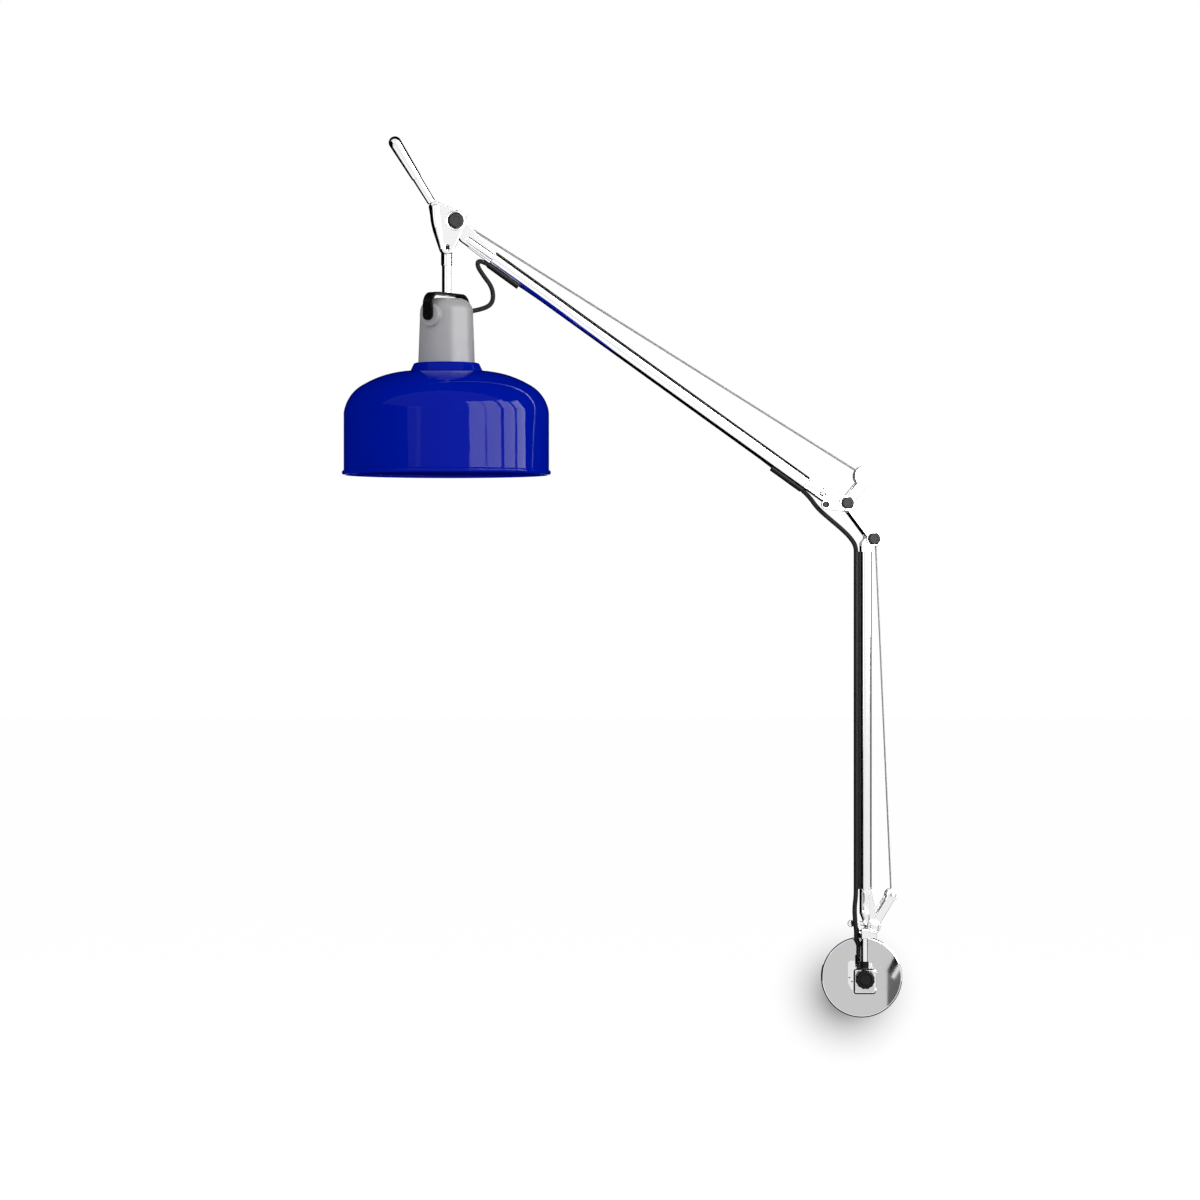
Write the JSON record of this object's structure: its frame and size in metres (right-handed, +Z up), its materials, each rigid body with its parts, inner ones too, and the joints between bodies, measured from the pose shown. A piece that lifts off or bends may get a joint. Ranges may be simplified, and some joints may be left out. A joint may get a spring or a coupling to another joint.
{
  "type": "articulating wall lamp",
  "caption": "Wall lamp with a swivelling post, two spring-balanced tube arms, an elbow link, a handled head and an enamelled bell shade on a porcelain lampholder.",
  "frame": {"origin": "middle of the rose's back face, on the wall", "axes": "+Y into the wall, the lamp stands out towards -Y; +X to the right seen from the room; +Z up"},
  "size_m": [0.5464, 0.2171, 0.8567],
  "materials": {
    "polished": "polished",
    "mirror_chrome": "mirror polished",
    "zinc_steel": "zinc plated",
    "black_plastic": "satin black",
    "black_steel": "black lacquer",
    "steel_rope": "twisted strands",
    "braided_lead": "black braid",
    "glazed_porcelain": "grey glaze",
    "brass_contact": "plain brass",
    "blue_enamel": "glossy vitreous enamel"
  },
  "bodies": {
    "wall_base": {"backplate": "zinc_steel", "rose": "mirror_chrome", "hub": "polished", "hub_nipple": "zinc_steel", "hub_screws": "polished", "terminal_block": "glazed_porcelain", "lead_wall": "braided_lead"},
    "clamp_knob": {"clamp_knob": "black_plastic"},
    "post": {"stem": "polished", "stem_collar": "black_steel", "post_head": "polished", "post_pivot_bolt": "polished", "post_lever_bolt": "polished", "post_roller": "zinc_steel", "lead_post": "braided_lead"},
    "lower_arm": {"lower_tube": "polished", "lower_foot": "polished", "lower_fork": "polished", "lower_spring": "zinc_steel", "lower_sheave_wire": "steel_rope", "lower_tension_wire": "steel_rope", "lower_sheave": "zinc_steel", "lower_set_screw": "polished", "lead_channel": "black_plastic", "lead_lower": "braided_lead", "lead_foot": "braided_lead"},
    "elbow": {"elbow_link": "polished", "elbow_bolts": "polished", "elbow_caps": "black_plastic", "elbow_disc": "zinc_steel", "stop_screw": "black_steel", "lead_elbow_lower": "braided_lead"},
    "upper_arm": {"upper_tube": "polished", "upper_foot": "polished", "upper_fork": "polished", "upper_spring": "zinc_steel", "upper_sheave_wire": "steel_rope", "upper_tension_wire": "steel_rope", "upper_sheave": "zinc_steel", "upper_set_screws": "polished", "lead_guides": "black_plastic", "lead_upper": "braided_lead", "lead_elbow_upper": "braided_lead"},
    "head": {"head_casting": "polished", "handle": "polished", "head_pivot_bolt": "polished", "head_pivot_cap": "black_plastic", "rod_screw": "black_steel", "lead_loop_arm": "braided_lead"},
    "spindle": {"shade_rod": "polished", "bail": "black_steel", "bail_screws": "black_steel", "lead_loop_head": "braided_lead"},
    "shade": {"lampholder": "glazed_porcelain", "socket_shell": "brass_contact", "lamp_contact": "brass_contact", "shade_ring": "black_steel", "shade": "blue_enamel", "lead_loop_holder": "braided_lead"}
  },
  "joints": [
    {"name": "clamp_turn", "type": "hinge", "parent": "wall_base", "child": "clamp_knob", "pos_m": [0, -0.0535, 0.0025], "axis": [0, -1, 0], "range_deg": [0, 180]},
    {"name": "post_swivel", "type": "hinge", "parent": "wall_base", "child": "post", "pos_m": [0, -0.045, 0], "axis": [0, 0, 1], "range_deg": [0, 160], "deforming": ["lead_post"]},
    {"name": "lower_pivot", "type": "hinge", "parent": "post", "child": "lower_arm", "pos_m": [0.00768, -0.04365, 0.0533], "axis": [0.1736, -0.9848, 0], "range_deg": [-20, 45], "deforming": ["lead_foot", "lower_tension_wire"]},
    {"name": "elbow_pivot", "type": "hinge", "parent": "lower_arm", "child": "elbow", "pos_m": [0.00768, -0.04365, 0.4322], "axis": [0.1736, -0.9848, 0], "range_deg": [-25, 30], "deforming": ["lead_elbow_lower"]},
    {"name": "upper_pivot", "type": "hinge", "parent": "elbow", "child": "upper_arm", "pos_m": [-0.01858, -0.04828, 0.46708], "axis": [0.1736, -0.9848, 0], "range_deg": [-40, 50], "deforming": ["lead_elbow_upper", "upper_tension_wire"]},
    {"name": "head_pivot", "type": "hinge", "parent": "upper_arm", "child": "head", "pos_m": [-0.39852, -0.11527, 0.73621], "axis": [0.1736, -0.9848, 0], "range_deg": [-90, 12], "deforming": ["lead_loop_arm"]},
    {"name": "head_turn", "type": "hinge", "parent": "head", "child": "spindle", "pos_m": [-0.4059, -0.11657, 0.68621], "axis": [0, 0, 1], "range_deg": [-90, 90], "deforming": ["lead_loop_head"]},
    {"name": "shade_tilt", "type": "hinge", "parent": "spindle", "child": "shade", "pos_m": [-0.4059, -0.11657, 0.64461], "axis": [0.5373, 0.8434, 0], "range_deg": [-15, 15], "deforming": ["lead_loop_holder"]}
  ]
}
